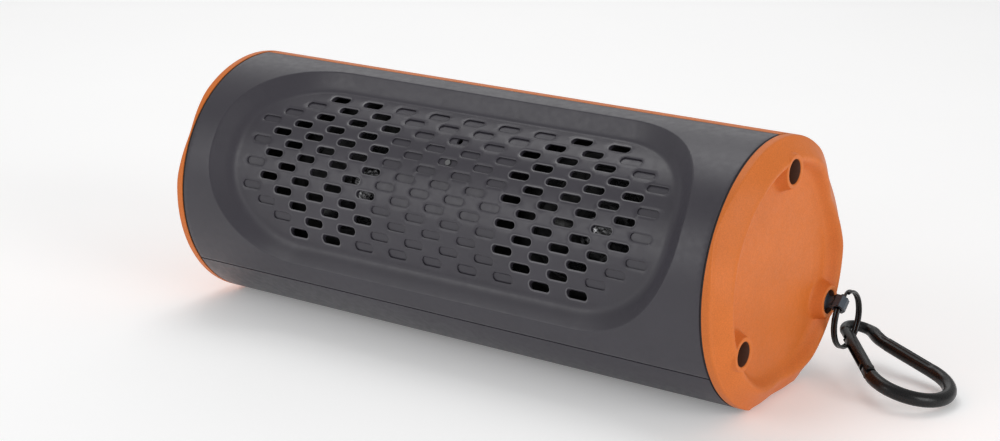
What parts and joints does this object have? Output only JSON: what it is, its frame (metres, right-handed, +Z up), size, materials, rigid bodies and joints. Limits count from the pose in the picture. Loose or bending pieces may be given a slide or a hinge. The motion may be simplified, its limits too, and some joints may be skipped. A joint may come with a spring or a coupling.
{
  "type": "portable bluetooth speaker",
  "caption": "Cylindrical portable speaker with a sunk slotted grille, lobed screwed end caps, push buttons, a hinged socket cover and a carabiner on a split ring.",
  "frame": {"origin": "middle of the rubber foot's underside, midway along the tube and straight below its axis", "axes": "+X along the tube towards the end with the lanyard post and carabiner, -Y towards the grille side, +Z up"},
  "size_m": [0.2453, 0.0854, 0.0786],
  "materials": {
    "slate_shell": "satin moulded, fine spark texture",
    "orange_shell": "matte moulded, fine grain",
    "black_rubber": "matte moulded rubber",
    "inner_plastic": "moulded, unpainted",
    "black_plastic": "moulded",
    "button_rubber": "satin moulded rubber",
    "basket_steel": "black paint",
    "bright_steel": "plated steel",
    "black_steel": "gloss black plating",
    "post_metal": "satin dark grey coating",
    "cone_polymer": "glossy polymer cone",
    "dust_cap_metal": "polished",
    "cell_wrap": "shrink wrap",
    "circuit_board": "solder mask",
    "clear_lens": "clear light pipe",
    "black_anodised": "gloss black anodised"
  },
  "bodies": {
    "speaker": {"front_grille": "slate_shell", "base_panel": "slate_shell", "rear_shell": "orange_shell", "left_end_cap": "orange_shell", "right_end_cap": "orange_shell", "left_gasket": "black_rubber", "right_gasket": "black_rubber", "left_bulkhead": "inner_plastic", "right_bulkhead": "inner_plastic", "baffle": "inner_plastic", "left_driver_basket": "basket_steel", "right_driver_basket": "basket_steel", "left_driver_magnet": "bright_steel", "right_driver_magnet": "bright_steel", "left_driver_surround": "black_rubber", "right_driver_surround": "black_rubber", "left_driver_cone": "cone_polymer", "right_driver_cone": "cone_polymer", "left_dust_cap": "dust_cap_metal", "right_dust_cap": "dust_cap_metal", "driver_screws": "bright_steel", "battery_holder": "black_plastic", "battery_cells": "cell_wrap", "holder_screws": "bright_steel", "main_board": "circuit_board", "board_components": "black_plastic", "board_screws": "bright_steel", "usb_port": "bright_steel", "aux_port": "black_plastic", "port_cover_pin": "bright_steel", "button_board": "circuit_board", "button_switches": "bright_steel", "status_board": "circuit_board", "microphone": "bright_steel", "status_lens": "clear_lens", "cap_screws": "black_steel", "rubber_foot": "black_rubber", "lanyard_post": "post_metal"},
    "power_button": {"power_button": "button_rubber"},
    "volume_down_button": {"volume_down_button": "button_rubber"},
    "play_button": {"play_button": "button_rubber"},
    "volume_up_button": {"volume_up_button": "button_rubber"},
    "call_button": {"call_button": "button_rubber"},
    "port_cover": {"port_cover": "black_rubber"},
    "split_ring": {"split_ring": "black_steel"},
    "carabiner": {"carabiner_body": "black_anodised", "gate_pin": "bright_steel"},
    "carabiner_gate": {"carabiner_gate": "black_anodised", "gate_spring": "bright_steel"}
  },
  "joints": [
    {"name": "power_press", "type": "slide", "parent": "speaker", "child": "power_button", "axis": [0, -0.6428, -0.766], "range_m": [0, 0.0006], "stiffness_N_per_m": 2000, "springref_m": -0.0003},
    {"name": "volume_down_press", "type": "slide", "parent": "speaker", "child": "volume_down_button", "axis": [0, -0.6428, -0.766], "range_m": [0, 0.0006], "stiffness_N_per_m": 2000, "springref_m": -0.0003},
    {"name": "play_press", "type": "slide", "parent": "speaker", "child": "play_button", "axis": [0, -0.6428, -0.766], "range_m": [0, 0.0006], "stiffness_N_per_m": 2000, "springref_m": -0.0003},
    {"name": "volume_up_press", "type": "slide", "parent": "speaker", "child": "volume_up_button", "axis": [0, -0.6428, -0.766], "range_m": [0, 0.0006], "stiffness_N_per_m": 2000, "springref_m": -0.0003},
    {"name": "call_press", "type": "slide", "parent": "speaker", "child": "call_button", "axis": [0, -0.6428, -0.766], "range_m": [0, 0.0006], "stiffness_N_per_m": 2000, "springref_m": -0.0003},
    {"name": "port_cover_hinge", "type": "hinge", "parent": "speaker", "child": "port_cover", "pos_m": [0, 0.0388, 0.033], "axis": [-1, 0, 0], "range_deg": [0, 100]},
    {"name": "ring_swing", "type": "hinge", "parent": "speaker", "child": "split_ring", "pos_m": [0.10515, 0.02667, 0.0232], "axis": [0, -0.766, -0.6428], "range_deg": [0, 80]},
    {"name": "carabiner_swing", "type": "hinge", "parent": "split_ring", "child": "carabiner", "pos_m": [0.10515, 0.0385, 0.01105], "axis": [0, 0.6637, 0.748], "range_deg": [0, 35]},
    {"name": "gate_hinge", "type": "hinge", "parent": "carabiner", "child": "carabiner_gate", "pos_m": [0.12005, 0.01665, 0.00819], "axis": [-0.2314, -0.0312, -0.9723], "range_deg": [0, 18], "stiffness_Nm_per_rad": 0.02, "springref_deg": -17.19}
  ]
}
